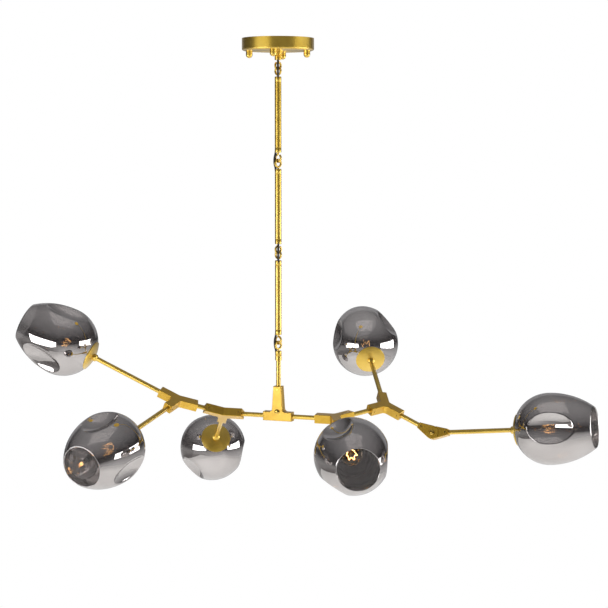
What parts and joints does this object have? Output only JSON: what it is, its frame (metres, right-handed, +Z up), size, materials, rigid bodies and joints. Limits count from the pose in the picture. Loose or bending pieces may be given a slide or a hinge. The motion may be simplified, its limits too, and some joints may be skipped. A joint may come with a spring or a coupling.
{
  "type": "cluster pendant",
  "caption": "Branching ceiling pendant: blown smoked glass shades on brass arms that fork from a stem of linked rods",
  "frame": {"origin": "centre of the ceiling bracket top face, on the ceiling plane", "axes": "+Z up towards the ceiling, +X right and +Y away from the viewer in the picture"},
  "size_m": [1.2447, 0.7842, 1.0029],
  "materials": {
    "brushed_brass": "satin brushed brass",
    "brass_plated_casting": "die casting, satin brass plating",
    "brass_screws": "satin brass",
    "zinc_steel": "zinc plated steel",
    "black_cable": "black round cable, matt",
    "lampholder_plastic": "black moulded plastic",
    "smoked_glass": "smoked, half mirrored blown glass",
    "bulb_glass": "clear glass bulb"
  },
  "bodies": {
    "ceiling_mount": {"canopy": "brushed_brass", "ceiling_bracket": "zinc_steel", "cap_nuts": "brushed_brass", "hook_hub": "brushed_brass", "hub_lock_nut": "zinc_steel"},
    "link_1": {"link_rod_1": "brushed_brass", "cable_jumper_1": "black_cable"},
    "link_2": {"link_rod_2": "brushed_brass", "cable_jumper_2": "black_cable"},
    "link_3": {"link_rod_3": "brushed_brass", "cable_jumper_3": "black_cable"},
    "drop": {"down_rod": "brushed_brass", "cable_jumper_4": "black_cable", "tee_front_shell": "brass_plated_casting", "tee_back_shell": "brass_plated_casting", "tee_set_screws": "brass_screws", "tee_clamp_screw": "brass_screws"},
    "left_arm": {"left_tube": "brushed_brass", "left_casting": "brass_plated_casting", "left_set_screws": "brass_screws", "lamp_arm_3": "brushed_brass", "lampholder_3": "lampholder_plastic", "glass_shade_3": "smoked_glass", "bulb_3": "bulb_glass"},
    "far_left_arm": {"far_left_tube": "brushed_brass", "far_left_casting": "brass_plated_casting", "far_left_set_screws": "brass_screws", "lamp_arm_1": "brushed_brass", "lampholder_1": "lampholder_plastic", "glass_shade_1": "smoked_glass", "bulb_1": "bulb_glass", "lamp_arm_2": "brushed_brass", "lampholder_2": "lampholder_plastic", "glass_shade_2": "smoked_glass", "bulb_2": "bulb_glass"},
    "right_arm": {"right_tube": "brushed_brass", "right_casting": "brass_plated_casting", "right_set_screws": "brass_screws", "lamp_arm_4": "brushed_brass", "lampholder_4": "lampholder_plastic", "glass_shade_4": "smoked_glass", "bulb_4": "bulb_glass"},
    "far_right_arm": {"far_right_tube": "brushed_brass", "far_right_casting": "brass_plated_casting", "far_right_set_screws": "brass_screws", "knuckle_tube": "brushed_brass", "knuckle_inner_blade": "brass_plated_casting", "knuckle_inner_set_screw": "brass_screws", "lamp_arm_5": "brushed_brass", "lampholder_5": "lampholder_plastic", "glass_shade_5": "smoked_glass", "bulb_5": "bulb_glass"},
    "end_arm": {"knuckle_outer_blade": "brass_plated_casting", "knuckle_pivot_screw": "brass_screws", "knuckle_outer_set_screw": "brass_screws", "lamp_arm_6": "brushed_brass", "lampholder_6": "lampholder_plastic", "glass_shade_6": "smoked_glass", "bulb_6": "bulb_glass"}
  },
  "joints": [
    {"name": "stem_eye_1", "type": "hinge", "parent": "ceiling_mount", "child": "link_1", "pos_m": [0, 0, -0.065], "axis": [0.7071, 0.7071, 0], "range_deg": [-25, 25], "deforming": ["cable_jumper_1"]},
    {"name": "stem_eye_2", "type": "hinge", "parent": "link_1", "child": "link_2", "pos_m": [0, 0, -0.259], "axis": [-0.7071, 0.7071, 0], "range_deg": [-25, 25], "deforming": ["cable_jumper_2"]},
    {"name": "stem_eye_3", "type": "hinge", "parent": "link_2", "child": "link_3", "pos_m": [0, 0, -0.453], "axis": [-0.7071, -0.7071, 0], "range_deg": [-25, 25], "deforming": ["cable_jumper_3"]},
    {"name": "stem_eye_4", "type": "hinge", "parent": "link_3", "child": "drop", "pos_m": [0, 0, -0.647], "axis": [0.7071, -0.7071, 0], "range_deg": [-25, 25], "deforming": ["cable_jumper_4"]},
    {"name": "left_arm_swivel", "type": "hinge", "parent": "drop", "child": "left_arm", "pos_m": [0, 0, -0.803], "axis": [-0.9466, 0.3223, 0], "range_deg": [-170, 170]},
    {"name": "far_left_arm_swivel", "type": "hinge", "parent": "left_arm", "child": "far_left_arm", "pos_m": [-0.11937, 0.04064, -0.803], "axis": [-0.9365, -0.2091, 0.2816], "range_deg": [-170, 170]},
    {"name": "right_arm_swivel", "type": "hinge", "parent": "drop", "child": "right_arm", "pos_m": [0, 0, -0.803], "axis": [0.9466, -0.3223, 0], "range_deg": [-170, 170]},
    {"name": "far_right_arm_swivel", "type": "hinge", "parent": "right_arm", "child": "far_right_arm", "pos_m": [0.12155, -0.04138, -0.803], "axis": [0.7883, 0.6073, 0.0988], "range_deg": [-170, 170]},
    {"name": "knuckle_pivot", "type": "hinge", "parent": "far_right_arm", "child": "end_arm", "pos_m": [0.33144, -0.01645, -0.83691], "axis": [-0.3724, -0.8793, 0.297], "range_deg": [-85, 30]}
  ]
}
